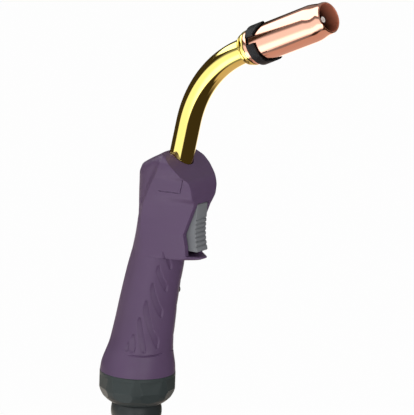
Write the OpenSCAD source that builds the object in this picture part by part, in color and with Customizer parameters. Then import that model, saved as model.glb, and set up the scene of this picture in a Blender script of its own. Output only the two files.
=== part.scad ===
// MIG welding torch: two-shell handle with a trigger, swan neck, gas
// nozzle, faceted rear nut and the ball-jointed end of its cable support.
// Millimetres. +Z runs up the rear nut's axis and +X is the trigger side.
// The shells meet in the plane Y = 0. The origin lies on the rear nut's
// axis, in the plane where the shells end.

/* [Rear nut and cable support] */
// Outer diameter of the rear nut
nut_d = 49.4; // [46:0.2:56]
// Length of the rear nut below the shells
nut_len = 20.8; // [19:0.2:26]
// Length of the nut's straight wall, above its rounded end
nut_wall_len = 11.5; // [9:0.5:13]
// Height of the plain rim at the nut's top
nut_rim_h = 2.6; // [1:0.2:4]
// Number of finger flats round the nut
nut_flat_count = 8; // [6:1:16]
// Depth of a finger flat at its top
nut_flat_depth = 1.2; // [0.5:0.1:1.4]
// Height of a finger flat
nut_flat_len = 8; // [6:0.5:9]
// Outer diameter of the cable support's ball
ball_d = 33.2; // [31:0.2:34]
// Distance of the ball joint's centre below the shells
ball_drop = 27; // [26:0.5:30]
// Bore for the power cable
cable_bore_d = 15; // [12:0.5:16]
// Length of the cable collar below the ball's centre
collar_len = 21; // [18:1:30]
// Wall of the cable collar at its end
collar_wall = 4.2; // [3:0.2:6]

/* [Handle] */
// Outer diameter of the shells' rear ring
rear_ring_d = 49.2; // [46:0.2:52]
// Height of the seam groove above the rear ring
groove_z = 15.4; // [12:0.2:18]
// Width of the grip, across the shells
grip_w = 35; // [32:0.5:40]
// Width of the head, across the shells
head_w = 35; // [32:0.5:40]
// Width of the trigger housing at its front edge
housing_w = 18.8; // [18:0.2:24]
// Reach of the head's front facet from the nut's axis
head_x = 48; // [46:0.5:52]
// Height of the head's top, where the neck comes out
head_z = 149; // [146:0.5:154]
// Height of the finger guard's underside
lip_z = 82; // [80:0.2:83]
// Thickness of the finger guard
lip_t = 2.6; // [2.4:0.2:3.4]
// Reach of the finger guard's tip from the nut's axis
lip_x = 50.2; // [48:0.2:56]
// Thickness of the shell wall
shell_wall = 2.4; // [1.8:0.1:3]
// Depth of the leaf-shaped grip slots
leaf_depth = 1; // [0.6:0.1:1.2]
// Diameter of the shell screws
screw_d = 3; // [2.5:0.5:3.5]

/* [Trigger and switch] */
// Width of the trigger
trigger_w = 11.2; // [10:0.2:12]
// Thickness of the trigger's wall
trigger_wall = 1.5; // [1.2:0.1:2]
// Number of grooves across the trigger
trigger_groove_count = 7; // [4:1:9]
// Distance between two grooves
trigger_groove_pitch = 2.9; // [2.2:0.1:3.2]
// Diameter of the trigger pin
pin_d = 3; // [2:0.5:3.5]
// Width of the switch body
switch_w = 7; // [5:0.5:7.5]
// Diameter of the switch plunger
plunger_d = 2.4; // [1.6:0.2:3]

/* [Swan neck] */
// Outer diameter of the neck tube
neck_d = 16; // [14:0.5:17]
// Wall of the neck tube
neck_wall = 1.2; // [0.8:0.1:1.6]
// Lean of the neck where it leaves the handle, in degrees
neck_lean = 11.5; // [8:0.1:16]
// Straight length between the handle and the bend
neck_straight = 22; // [20:1:40]
// Radius of the bend, on the tube's centre line
bend_r = 76; // [60:1:100]
// Angle of the bend, in degrees
neck_bend = 52.4; // [30:0.2:60]
// Diameter of the inner conductor tube
conductor_d = 10; // [8:0.5:11]
// Bore of the inner conductor tube
conductor_bore_d = 5.4; // [5:0.2:6]
// Outer diameter of the wire liner
liner_d = 4.6; // [4:0.2:4.8]
// Bore of the wire liner
liner_bore_d = 2; // [1.6:0.2:2.4]

/* [Nozzle] */
// Outer diameter of the gas nozzle
nozzle_d = 23.8; // [22:0.2:26]
// Length of the gas nozzle ahead of the insulator's ring
nozzle_len = 53; // [42:0.5:68]
// Bore of the gas nozzle behind its taper
nozzle_bore_d = 19; // [18:0.2:20]
// Bore of the gas nozzle's mouth
mouth_d = 18.2; // [14:0.2:18.4]
// Outer diameter of the nozzle's rounded mouth
mouth_outer_d = 20.8; // [19:0.2:23]
// Length of the tapered nose
nose_len = 12.6; // [10:0.2:18]
// Outer diameter of the castellated insulator
insulator_d = 26.4; // [25:0.2:28]
// Length of the insulator's ring
insulator_len = 6.6; // [5:0.2:9]
// Length of the insulator's teeth, ahead of its ring
tooth_len = 4.5; // [4:0.5:12]
// Width of a tooth at the ring
tooth_w = 17; // [10:0.5:18]
// Width of a tooth at its end
tooth_end_w = 5; // [2:0.5:8]
// Width of the gap that goes through the ring between two teeth
notch_w = 5; // [3:0.5:7]
// Distance of the brass collar from the end of the bend
collar_s = 2.8; // [1:0.2:5]
// Length of the brass collar behind the seat ring
neck_collar_len = 6.6; // [6:0.2:9]
// Width of the two slits in the nozzle's rear end
slit_w = 0.6; // [0.4:0.1:1.2]
// Length of a slit ahead of the insulator's ring
slit_len = 6; // [3:0.5:10]
// Thickness of the copper seat ring
seat_ring_t = 3; // [2:0.2:5]
// Diameter of the contact tip
tip_d = 8; // [6:0.5:9]
// Distance of the contact tip's end inside the mouth
tip_recess = 5; // [0:0.5:8]
// Bore of the contact tip for the welding wire
wire_bore_d = 1.2; // [0.9:0.1:1.8]

/* [Hidden] */
$fn = 96;

// Clearances
fit = 0.05;
gap = 0.3;
slot_gap = 0.6;
rim_gap = 0.4;

// ---- Handle profile: tables of height against size ----
rear_r = rear_ring_d / 2;
grip_h = grip_w / 2;
head_h = head_w / 2;
edge_h = housing_w / 2;
lip_top = lip_z + lip_t;
bevel_z = head_z - 14;
crown_z = head_z + 1;
// Rear edge of each section
BACK = [[0, -rear_r], [6, -rear_r + 0.7], [12, -21.6], [18, -19.3], [24, -18], [36, -15.2],
  [48, -12.6], [60, -9.8], [72, -6.8], [84, -3], [96, 0.4], [103, 2.2], [108, 3], [114, 2.8],
  [120, 1.8], [bevel_z, 0.5], [bevel_z + 5, 2.6], [head_z - 5, 9], [head_z - 1, 16.5], [crown_z, 20]];
// Front edge of each section
FRONT = [[0, rear_r], [6, rear_r - 0.2], [12, 23.5], [18, 23.5], [24, 24], [36, 25.4],
  [48, 26.4], [60, 28], [72, 30.4], [lip_z - 0.4, 31.6], [lip_z, lip_x - 5], [lip_z + 1.2, lip_x],
  [lip_top - 0.4, lip_x], [lip_top, lip_x - 0.4], [lip_top + 0.4, 42.2], [90, 41.9], [94, 41],
  [98.5, 39.8], [107, 43.2], [118, 47.4], [120.5, head_x + 0.5], [124, head_x + 0.6],
  [bevel_z - 5.5, head_x + 0.4], [bevel_z - 3, head_x - 0.2], [bevel_z, head_x - 1.4],
  [bevel_z + 1.5, head_x - 2.9], [bevel_z + 3, 43], [head_z - 7, 38.9], [head_z - 3, 34],
  [head_z, 29.8], [crown_z, 28.8]];
// Front edge of the flat sides, where the front facet starts
EDGE = [[lip_z - 0.4, 27], [lip_z, 39], [lip_z + 1.2, 41.6], [lip_top, 42], [lip_top + 0.4, 41.9],
  [90, 41.6], [94, 40.7], [98.5, 39.5], [107, 42.9], [118, 47.1], [120.5, head_x + 0.2],
  [124, head_x + 0.3], [bevel_z - 5.5, head_x + 0.1], [bevel_z - 3, head_x - 0.5],
  [bevel_z, head_x - 1.8], [bevel_z + 1.5, head_x - 3.4], [bevel_z + 3, 42.4], [head_z - 7, 38.2],
  [head_z - 3, 33.2], [head_z, 29], [crown_z, 28]];
// Half-width of each section
HALF = [[0, rear_r], [6, rear_r - 0.9], [12, 21.8], [18, 19.8], [24, grip_h + 1.2],
  [36, grip_h + 0.4], [48, grip_h + 0.2], [72, grip_h - 0.4], [84, head_h - 0.6], [96, head_h - 0.8],
  [108, head_h - 1], [120, head_h], [bevel_z, head_h + 0.9], [head_z - 7, head_h + 1.8],
  [head_z - 3, head_h + 1.8], [head_z, head_h - 0.3], [crown_z, head_h - 2]];
// Half-width at the front edge of the flat sides
EDGE_HALF = [[lip_z - 0.4, edge_h], [118, edge_h], [120.5, edge_h + 0.6], [124, head_h - 4.7],
  [bevel_z - 5.5, head_h - 3.5], [bevel_z - 3, head_h - 3.1], [bevel_z, head_h - 2.5],
  [bevel_z + 1.5, head_h - 1.4], [bevel_z + 3, head_h], [head_z - 7, head_h + 1.4],
  [head_z - 3, head_h + 1.7], [head_z, head_h - 0.7], [crown_z, head_h - 2.4]];
// Where the section is widest. On the head, the cheek's rear edge.
MID = [[0, 0], [12, 1], [24, 2.6], [48, 6.5], [72, 11], [84, 13], [96, 12], [104, 10.6], [110, 11],
  [116, 12.2], [124, 15.6], [bevel_z - 3, 19.6], [bevel_z + 5, 24.2], [head_z - 3, 26.4],
  [crown_z, 27]];
// 0 for a rounded front, 1 for flat sides and a front facet
FLAT = [[lip_z - 0.4, 0], [lip_z, 1]];
// How far the rear spine is narrower than the cheeks
VALLEY = [[98, 0], [110, 0.8], [120, 1.6], [bevel_z + 5, 2], [head_z - 3, 1.4], [crown_z, 0]];
// 0 for an elliptic rear, 1 for a squarer one
SQUARE = [[106, 0], [124, 0.35], [crown_z, 0.35]];

// Bulge of the flat sides, 1 for none
SIDE_BULGE = 1.3;
REAR_N = 10;
FRONT_N = 9;
FLAT_SHARE = 6;

function rear_pt(z, c, s) =
  let (xb = lookup(z, BACK) + c, xm = lookup(z, MID), b = lookup(z, HALF) - c,
    p = 1 - 0.28 * lookup(z, SQUARE), v = lookup(z, VALLEY) * min(1, (1 - s) * REAR_N))
  [xm - (xm - xb) * pow(cos(90 * s), p), (v - b) * pow(sin(90 * s), p)];
function front_pt(z, c, u) =
  let (xm = lookup(z, MID), b = lookup(z, HALF) - c, xf = lookup(z, FRONT) - c,
    xe = lookup(z, EDGE) - c, be = max(lookup(z, EDGE_HALF) - c, 1), k = lookup(z, FLAT),
    e = [xm + (xf - xm) * sin(90 * u), -b * cos(90 * u)],
    m = FLAT_SHARE / FRONT_N,
    f = u <= m ? [xm + (xe - xm) * u / m, -b + (b - be) * pow(u / m, SIDE_BULGE)]
      : [xe + (xf - xe) * min(1, (u - m) / (1 - m) * 1.5), -be * (1 - (u - m) / (1 - m))])
  (1 - k) * e + k * f;
// Half section from the rear edge round one side to the front edge
function half_sec(z, c) = concat(
  [for (i = [0 : REAR_N]) rear_pt(z, c, i / REAR_N)],
  [for (i = [1 : FRONT_N]) front_pt(z, c, i / FRONT_N)]);
// Distance of the surface from the plane Y = 0, at x on height z
function side_y(x, z) =
  let (xb = lookup(z, BACK), xm = lookup(z, MID), b = lookup(z, HALF), xf = lookup(z, FRONT))
  x < xm ? (b - lookup(z, VALLEY)) * sqrt(1 - pow((xm - x) / (xm - xb), 2))
    : lookup(z, FLAT) < 0.5 ? b * sqrt(1 - pow((x - xm) / (xf - xm), 2))
    : b + (lookup(z, EDGE_HALF) - b) * pow((x - xm) / (lookup(z, EDGE) - xm), SIDE_BULGE);

// Closed solid through half sections. rings is a list of [height, inset] or
// [height, inset, height of the section]. A close_y over 0 closes the solid
// beyond the middle plane, and one under 0 short of it.
module half_loft(rings, close_y) {
  n = REAR_N + FRONT_N + 1;
  pts = [for (r = rings) let (s = half_sec(len(r) > 2 ? r[2] : r[0], r[1]))
    each close_y == 0 ? [for (p = s) [p[0], p[1], r[0]]]
      : [for (i = [0 : n - 1]) let (k = min(max(i, 1), n - 2))
        [s[k][0], i == k ? s[k][1] : close_y, r[0]]]];
  k = len(rings);
  faces = concat(
    [for (j = [0 : k - 2]) for (i = [0 : n - 1])
      let (a = j * n + i, b = j * n + (i + 1) % n)
      each [[a, b + n, b], [a, a + n, b + n]]],
    [for (i = [1 : n - 2]) [0, i, i + 1]],
    [for (i = [1 : n - 2]) let (o = (k - 1) * n) [o, o + i + 1, o + i]]);
  polyhedron(points = pts, faces = faces, convexity = 6);
}

// ---- Frames along the neck ----
exit_x = 29.7;
module at_exit() {
  translate([exit_x, 0, head_z]) rotate([0, neck_lean, 0]) children();
}
module at_front() {
  at_exit()
    translate([bend_r * (1 - cos(neck_bend)), 0, neck_straight + bend_r * sin(neck_bend)])
      rotate([0, neck_bend, 0]) children();
}
// Solid rod along the neck's centre line, from below the exit to ahead of the bend.
// The straight ends are a hair thinner and reach a little into the bend.
module neck_rod(r, below, ahead) {
  lap = 0.6;
  at_exit() translate([0, 0, -below]) cylinder(r = r - 0.05, h = below + neck_straight + lap);
  at_exit() translate([bend_r, 0, neck_straight]) rotate([90, 0, 0])
    rotate([0, 0, 180 - neck_bend]) rotate_extrude(angle = neck_bend)
      translate([bend_r, 0]) circle(r = r);
  at_front() translate([0, 0, -lap]) cylinder(r = r - 0.05, h = ahead + lap);
}

// ---- Stack along the nozzle's axis, from the end of the bend ----
seat_ring_s = collar_s + neck_collar_len;
insulator_s = seat_ring_s + seat_ring_t;
nozzle_s = insulator_s + 1.6;
nozzle_front_s = insulator_s + insulator_len;
mouth_s = nozzle_front_s + nozzle_len;
tip_end_s = mouth_s - tip_recess;
tip_len = 25;
tip_shank = 8;
tip_seat_s = tip_end_s - tip_len;
neck_r = neck_d / 2;
sleeve_r = neck_r - neck_wall;
cond_r = conductor_d / 2;
nozzle_r = nozzle_d / 2;
bore_r = nozzle_bore_d / 2;
mouth_wall = (mouth_outer_d - mouth_d) / 2;
nose_drop = (nozzle_d - mouth_outer_d) / 2;
teeth_front_s = nozzle_front_s + tooth_len;
holder_s = nozzle_front_s + 1;
spring_s = nozzle_front_s + 0.3;

slit_angle = 122;
module gas_nozzle() {
  color([0.79, 0.50, 0.38]) at_front() difference() {
    rotate_extrude() polygon([
      [bore_r, nozzle_s], [nozzle_r - 0.4, nozzle_s], [nozzle_r, nozzle_s + 0.4],
      [nozzle_r, mouth_s - nose_len], [nozzle_r - nose_drop * 0.26, mouth_s - nose_len * 0.76],
      [nozzle_r - nose_drop * 0.9, mouth_s - nose_len * 0.4], [mouth_outer_d / 2, mouth_s - 1.6],
      [mouth_outer_d / 2 - mouth_wall * 0.2, mouth_s - 0.5],
      [mouth_outer_d / 2 - mouth_wall * 0.55, mouth_s],
      [mouth_d / 2 + mouth_wall * 0.15, mouth_s], [mouth_d / 2, mouth_s - 0.4],
      [mouth_d / 2, mouth_s - tip_recess + 0.3], [bore_r, mouth_s - nose_len - 2]]);
    rotate([0, 0, slit_angle]) translate([-nozzle_r - 1, -slit_w / 2, nozzle_s - 1])
      cube([2 * nozzle_r + 2, slit_w, nozzle_front_s + slit_len - nozzle_s + 1]);
  }
}

module contact_tip() {
  color([0.80, 0.52, 0.36]) at_front() difference() {
    union() {
      translate([0, 0, tip_seat_s]) rotate_extrude() polygon([
        [0, 0], [tip_d / 2, 0], [tip_d / 2, tip_len - 4], [tip_d / 2 - 1.2, tip_len], [0, tip_len]]);
      translate([0, 0, tip_seat_s - tip_shank]) cylinder(d = tip_d - 2, h = tip_shank + 1);
    }
    translate([0, 0, tip_seat_s - tip_shank - 1])
      cylinder(d = wire_bore_d, h = tip_len + tip_shank + 2);
    for (a = [0, 180]) rotate([0, 0, a])
      translate([tip_d / 2 - 0.7, -3, tip_seat_s + tip_len - 12]) cube([2, 6, 5]);
  }
}

module tip_holder() {
  color([0.83, 0.68, 0.36]) at_front() difference() {
    rotate_extrude() polygon([
      [0, holder_s], [cond_r, holder_s], [cond_r, holder_s + 3], [cond_r + 1.6, holder_s + 3],
      [cond_r + 1.6, tip_seat_s - 2], [cond_r + 0.6, tip_seat_s], [0, tip_seat_s]]);
    translate([0, 0, holder_s - 1]) cylinder(d = conductor_bore_d, h = 12);
    translate([0, 0, tip_seat_s - tip_shank - 0.3]) cylinder(d = tip_d - 2, h = tip_shank + 2);
    translate([0, 0, holder_s + 6]) cylinder(d = liner_bore_d + 0.4, h = tip_seat_s - holder_s);
    for (a = [0 : 60 : 300]) rotate([0, 0, a]) translate([0, 0, holder_s + 8])
      rotate([0, 90, 0]) cylinder(d = 1.8, h = 12);
  }
}

module gas_diffuser() {
  color([0.86, 0.84, 0.78]) at_front() difference() {
    translate([0, 0, holder_s + 3]) cylinder(r = bore_r - 1.2, h = 14);
    translate([0, 0, holder_s + 2]) cylinder(r = cond_r + 1.6, h = 16);
    for (a = [0 : 45 : 315]) rotate([0, 0, a]) translate([0, 0, holder_s + 13])
      rotate([0, 90, 0]) cylinder(d = 2, h = 12);
  }
}

notch_from = 61;
tooth_angle = 15;
module ring_sector(from, to, low, high) {
  rotate([0, 0, from]) rotate_extrude(angle = to - from) translate([nozzle_r - 1.5, low])
    square([4, high - low]);
}
module nozzle_insulator() {
  notch_angle = 360 * notch_w / (PI * insulator_d);
  color([0.09, 0.09, 0.10]) at_front() {
    difference() {
      rotate_extrude() polygon([
        [neck_r, insulator_s], [insulator_d / 2 - 0.4, insulator_s],
        [insulator_d / 2, insulator_s + 0.4], [insulator_d / 2, teeth_front_s],
        [nozzle_r + gap, teeth_front_s], [nozzle_r + gap, nozzle_s - gap],
        [bore_r - fit, nozzle_s - gap], [bore_r - fit, holder_s + 2.6],
        [cond_r + 2.2, holder_s + 2.6], [cond_r + 2.2, nozzle_front_s], [neck_r, nozzle_front_s]]);
      for (a = [notch_from, notch_from + 180])
        ring_sector(a, a + notch_angle, insulator_s - 1, nozzle_front_s + 1);
      // the two teeth are what is left between these cuts
      for (side = [0, 1]) difference() {
        rotate([0, 0, tooth_angle]) mirror([0, side, 0]) rotate([90, 0, 90])
          linear_extrude(height = 2 * insulator_d, center = true) polygon([
            [tooth_w / 2, nozzle_front_s], [tooth_end_w / 2, teeth_front_s - 0.5],
            [tooth_end_w / 2 - 0.5, teeth_front_s], [tooth_end_w / 2 - 0.5, teeth_front_s + 1],
            [insulator_d, teeth_front_s + 1], [insulator_d, nozzle_front_s]]);
        cylinder(r = nozzle_r - 0.6, h = teeth_front_s + 3);
      }
      translate([0, 0, spring_s]) rotate_extrude() translate([bore_r - fit, 0])
        polygon([[-0.9, -0.7], [1, -0.7], [1, 0.7], [-0.9, 0.7]]);
    }
  }
}

module nozzle_spring() {
  color([0.75, 0.75, 0.77]) at_front() translate([0, 0, spring_s])
    rotate([0, 0, 20]) rotate_extrude(angle = 320)
      translate([bore_r - fit - 0.5, 0]) circle(r = 0.38);
}

module seat_ring() {
  color([0.80, 0.52, 0.38]) at_front() rotate_extrude() polygon([
    [neck_r, seat_ring_s], [nozzle_r - 0.3, seat_ring_s], [nozzle_r, seat_ring_s + 0.3],
    [nozzle_r, insulator_s - 0.3], [nozzle_r - 0.3, insulator_s], [neck_r, insulator_s]]);
}

module neck_collar() {
  color([0.86, 0.70, 0.30]) at_front() rotate_extrude() translate([0, collar_s]) polygon([
    [neck_r, 0], [nozzle_r - 2.4, 0], [nozzle_r - 1.6, 0.4], [nozzle_r - 1.4, 1.5],
    [nozzle_r - 1.8, 1.9], [nozzle_r - 2.4, 2.1], [nozzle_r - 2.4, 2.7], [nozzle_r - 0.9, 3],
    [nozzle_r - 0.5, 3.5], [nozzle_r - 0.3, neck_collar_len - 1.2],
    [nozzle_r - 0.8, neck_collar_len - 0.4], [nozzle_r - 1.4, neck_collar_len],
    [neck_r, neck_collar_len]]);
}

socket_s = 18;
socket_deep = 15;
module swan_neck() {
  color([0.88, 0.72, 0.30]) difference() {
    neck_rod(neck_r, socket_s + socket_deep, nozzle_front_s);
    neck_rod(sleeve_r, socket_s + socket_deep + 1, nozzle_front_s + 1);
  }
}

module neck_sleeve() {
  color([0.85, 0.83, 0.76]) difference() {
    neck_rod(sleeve_r, socket_s + socket_deep, nozzle_front_s);
    neck_rod(cond_r, socket_s + socket_deep + 1, nozzle_front_s + 1);
  }
}

module neck_conductor() {
  color([0.78, 0.50, 0.36]) difference() {
    neck_rod(cond_r, socket_s + socket_deep, holder_s);
    neck_rod(conductor_bore_d / 2, socket_s + socket_deep + 1, holder_s + 1);
  }
}

module wire_liner() {
  color([0.62, 0.63, 0.65]) difference() {
    neck_rod(liner_d / 2, socket_s + socket_len + stud_len + 3, holder_s + 5.5);
    neck_rod(liner_bore_d / 2, socket_s + socket_len + stud_len + 4, holder_s + 6.5);
  }
}

socket_len = 29;
stud_len = 14;
socket_r = 10;
module neck_socket() {
  color([0.80, 0.66, 0.36]) at_exit() difference() {
    union() {
      translate([0, 0, -socket_s - socket_len]) cylinder(r = socket_r, h = socket_len);
      translate([0, 0, -socket_s - socket_len - stud_len]) cylinder(r = 6, h = stud_len + 1);
    }
    translate([0, 0, -socket_s - socket_deep]) cylinder(r = neck_r, h = socket_deep + 1);
    translate([0, 0, -socket_s - socket_len - stud_len - 1])
      cylinder(d = conductor_bore_d, h = socket_len + stud_len + 2);
    translate([0, 0, -socket_s - 7]) rotate([0, -90, 0]) cylinder(r = 2, h = 14);
  }
}

module socket_screw() {
  color([0.35, 0.36, 0.38]) at_exit() translate([-neck_r, 0, -socket_s - 7])
    rotate([0, -90, 0]) difference() {
      cylinder(r = 2, h = 4.2);
      translate([0, 0, 2.2]) cylinder(r = 1.15, h = 3, $fn = 6);
    }
}

bush_r = 11.4;
bush_top = 8.4;
module neck_bush() {
  color([0.10, 0.10, 0.11]) at_exit() translate([0, 0, -socket_s + 0.4]) difference() {
    cylinder(r = bush_r, h = socket_s - bush_top - 0.4);
    translate([0, 0, -1]) cylinder(r = neck_r, h = socket_s + 2);
  }
}

// ---- Handle shells ----
function outer_rings() = concat(
  [for (z = [0, 3, 6, 9, 12, 15, 18, 21, 24, 30, 36, 42, 48, 54, 60, 66, 72, 78]) [z, 0]],
  [for (z = [lip_z - 0.4, lip_z, lip_z + 1.2, lip_top - 0.4, lip_top, lip_top + 0.4]) [z, 0]],
  [for (z = [90, 94, 98.5, 103, 107, 112, 118, 120.5, 124, bevel_z - 5.5, bevel_z - 3, bevel_z,
    bevel_z + 1.5, bevel_z + 3, bevel_z + 5, head_z - 7, head_z - 5, head_z - 3, head_z - 1, head_z,
    crown_z]) [z, 0]]);
function core_rings() = [for (z = [groove_z - 2, 18, 21, 24, 30, 36, 42, 48, 54, 60, 66, 72, 78,
  lip_z - 0.6, lip_z + 1.2, lip_top - 0.8, lip_top + 0.6, 90]) [z, leaf_depth]];
function cavity_rings() = concat([[-1, shell_wall, 0]],
  [for (z = [4, 9, 12, 18, 24, 36, 48, 60, 72, lip_z - 2]) [z, shell_wall]],
  [[lip_top + 0.1, shell_wall, lip_z - 0.4]],
  [for (z = [lip_top + 0.5, 90, 98.5, 107, 118, 124, bevel_z - 3, bevel_z, head_z - 11, head_z - 8])
    [z, shell_wall]]);
function clip_rings() = [for (z = [0, 6, 12, 18, 24, 36, 48, 60, 72, lip_z + 1.2, lip_top - 0.8,
  lip_top + 1, 90, 98.5, 107, 118, bevel_z - 3, bevel_z, head_z - 11, head_z - 7, head_z - 3])
  [z, shell_wall / 2]];

// Leaf slots in side view, x and z, and last the groove under them
LEAVES = [
  [[26.9, 87.2], [28.8, 82.4], [29.6, 77.6], [29.2, 74], [28.7, 73.6], [27.9, 77.6], [27.5, 82.4]],
  [[23.9, 77.6], [24.7, 73.2], [25.8, 68.8], [27, 63.6], [26.8, 61.2], [26, 57.6], [25, 61.2],
    [23.4, 67.2], [22.1, 72.4]],
  [[20.5, 65.6], [21.4, 60], [22.8, 53.2], [24.4, 46.4], [24.3, 44.8], [23.6, 39.6], [21.6, 45.6],
    [19.6, 52.8], [18.7, 60.4]],
  [[16.8, 54], [17.8, 46.8], [18.9, 38.8], [20.4, 32], [22.3, 27.2], [22.1, 23.2], [21.4, 18.4],
    [19.3, 26], [16.8, 34.8], [14.9, 42.8], [14.8, 48]],
  [[13, 42], [14.1, 34.4], [15.5, 25.6], [17.2, 16.8], [14.2, 17.2], [12.6, 25.6], [11.2, 32.8],
    [10.9, 37.6]],
  [[8.9, 30], [10, 25.2], [10.9, 16.8], [7.5, 16.8], [6.6, 22.4], [6.8, 26]],
  [[5.8, 24], [6.4, 17.2], [3.3, 16.8], [4, 21]],
  [[2.4, 15.9], [6, 15.5], [10.6, 15.2], [20, 15.2], [23.4, 16.6], [22.8, 15.6], [20, 14.5],
    [10.6, 14.5], [6, 14.8]]];
// Closed outline with each corner cut off at a quarter of its sides
function softened(o) = let (n = len(o))
  [for (i = [0 : n - 1]) let (a = o[i], b = o[(i + 1) % n]) each [a * 0.75 + b * 0.25, a * 0.25 + b * 0.75]];
module leaf_cutters() {
  for (o = LEAVES) rotate([90, 0, 0]) translate([0, 0, 4]) linear_extrude(height = 30)
    polygon(softened(o));
}

screw_r = screw_d / 2;
boss_r = screw_r + 2.7;
head_r = screw_r + 1.4;
head_t = 2;
SCREWS = [[9, bevel_z - 4], [-9.4, 32], [20.6, 56]];
function boss_y(s) = side_y(s[0], s[1]);
pin_x = 38.5;
pin_z = 115.5;
pin_half = 10;
socket_rib_s = socket_s + 12;

// Everything inside a shell that stands on its wall
module shell_insides() {
  for (s = SCREWS) translate([s[0], 0, s[1]]) rotate([90, 0, 0]) cylinder(r = boss_r, h = 30);
  // pivot boss
  translate([pin_x, -trigger_w / 2 - gap, pin_z]) rotate([90, 0, 0]) cylinder(r = 3.2, h = 20);
  // switch pad
  translate([switch_x - 0.2, -30 - switch_w / 2, switch_z + 2]) cube([1.3, 30, 8]);
  // seat of the neck bush
  at_exit() translate([0, 0, -socket_s + 0.4]) cylinder(r = bush_r + 2, h = socket_s - 2);
}

// One shell on the side Y < 0; near is true for the shell without screw heads
module shell(near) {
  difference() {
    union() {
      difference() {
        union() {
          difference() {
            half_loft(outer_rings(), 0);
            leaf_cutters();
          }
          half_loft(core_rings(), -1.5);
        }
        half_loft(cavity_rings(), 2);
      }
      intersection() {
        shell_insides();
        half_loft(clip_rings(), 0);
      }
      // rear spigot inside the nut
      rotate([0, 0, 180]) rotate_extrude(angle = 180) polygon([
        [spigot_r - spigot_wall, -spigot_len], [spigot_r, -spigot_len], [spigot_r, 0],
        [rear_r - 1.6, 0], [rear_r - 2, 2.4], [spigot_r, 5], [spigot_r - spigot_wall, 5]]);
    }
    // bore and mouth of the neck
    at_exit() translate([0, 0, -socket_s - 2]) cylinder(r = bush_r, h = socket_s + 2 - bush_top);
    at_exit() translate([0, 0, -bush_top - 1]) cylinder(r = neck_r + rim_gap, h = 25);
    // trigger slot
    translate([pin_x - 6.5, -trigger_w / 2 - slot_gap, lip_top])
      cube([lip_x, 20, trigger_top + 0.7 - lip_top]);
    // pin hole
    translate([pin_x, 1, pin_z]) rotate([90, 0, 0]) cylinder(d = pin_d, h = pin_half + 1);
    // screws
    for (s = SCREWS) translate([s[0], 0, s[1]]) rotate([90, 0, 0]) {
      if (near) translate([0, 0, -1]) cylinder(r = screw_r, h = screw_deep + 1);
      if (!near) {
        translate([0, 0, -1]) cylinder(r = screw_r + 0.15, h = 40);
        translate([0, 0, boss_y(s) - head_t - 1.4]) cylinder(r = head_r + 0.2, h = 20);
      }
    }
    // step seam on the head's side
    for (i = [0 : len(SEAM) - 2]) seam_cutter(SEAM[i], SEAM[i + 1]);
  }
}
screw_deep = 6.4;
spigot_r = 20;
spigot_len = 9.2;
spigot_wall = 2.6;
seam_w = 0.5;
seam_depth = 0.5;
// Step seam on the head's side, x and z
SEAM = [[25, 126.9], [30, 127], [35, 127.2], [40.2, 127.3], [41.4, 132], [42.6, 136.6]];
module seam_cutter(a, b) {
  d = (b - a) / norm(b - a) * seam_w / 2;
  n = [-d[1], d[0]];
  m = (a + b) / 2;
  translate([0, seam_depth - side_y(m[0], m[1]), 0]) rotate([90, 0, 0])
    linear_extrude(height = 8) polygon([a - d - n, b + d - n, b + d + n, a - d + n]);
}

module handle_left() {
  color([0.36, 0.29, 0.38]) shell(true);
}

module handle_right() {
  color([0.36, 0.29, 0.38]) mirror([0, 1, 0]) shell(false);
}

module shell_screw(s) {
  len = boss_y(s) - head_t - 1.4;
  color([0.45, 0.46, 0.48]) translate([s[0], 0, s[1]]) rotate([-90, 0, 0]) difference() {
    union() {
      translate([0, 0, len]) cylinder(r = head_r, h = head_t);
      translate([0, 0, -screw_deep + 0.4]) cylinder(r = screw_r, h = len + screw_deep);
    }
    translate([0, 0, len + head_t - 1.2]) cylinder(r = 1.2, h = 3, $fn = 6);
  }
}
module shell_screw_top() shell_screw(SCREWS[0]);
module shell_screw_rear() shell_screw(SCREWS[1]);
module shell_screw_mid() shell_screw(SCREWS[2]);

// ---- Trigger and switch ----
trigger_bottom = lip_top + 3.2;
trigger_top = pin_z + 4.2;
groove_top = pin_z - 6.4;
groove_side = 1.1;
// Front outline from the foot up, x and z
function trigger_front(back = 0) = [[48.8 - back, trigger_bottom + 1], [48.2 - back, 91.2],
  [47.3 - back, 96], [46.9 - back, 101], [47 - back, 106], [47.2 - back, 111]];
function front_at(z) = lookup(z, [for (p = trigger_front()) [p[1], p[0]]]);
module trigger() {
  color([0.46, 0.49, 0.50]) difference() {
    rotate([90, 0, 0]) linear_extrude(height = trigger_w, center = true)
      polygon(concat([[pin_x - 2.9, trigger_bottom + 1.2], [pin_x - 1.9, trigger_bottom],
        [48.2, trigger_bottom + 0.2]], trigger_front(), [[47.5, trigger_top - 0.7],
        [46.9, trigger_top], [pin_x + 1, trigger_top], [pin_x - 2.2, trigger_top - 1],
        [pin_x - 3.7, pin_z], [pin_x - 2.9, pin_z - 3.5]]));
    // hollow back
    rotate([90, 0, 0]) linear_extrude(height = trigger_w - 2 * trigger_wall, center = true)
      polygon(concat([[pin_x - 8, trigger_bottom + trigger_wall],
        [46.8, trigger_bottom + trigger_wall]], [for (p = trigger_front(2)) if (p[1] > 91) p],
        [[44.6, trigger_top - 1.4], [pin_x - 8, trigger_top - 1.4]]));
    // finger grooves
    for (i = [0 : trigger_groove_count - 1]) let (z = groove_top - i * trigger_groove_pitch)
      translate([front_at(z) - 0.15, 0, z])
        rotate([0, 45, 0]) cube([groove_side, trigger_w + 2, groove_side], center = true);
    // pin bore
    translate([pin_x, 0, pin_z]) rotate([90, 0, 0])
      cylinder(r = pin_d / 2 + 0.04, h = trigger_w + 2, center = true);
  }
}

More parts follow.
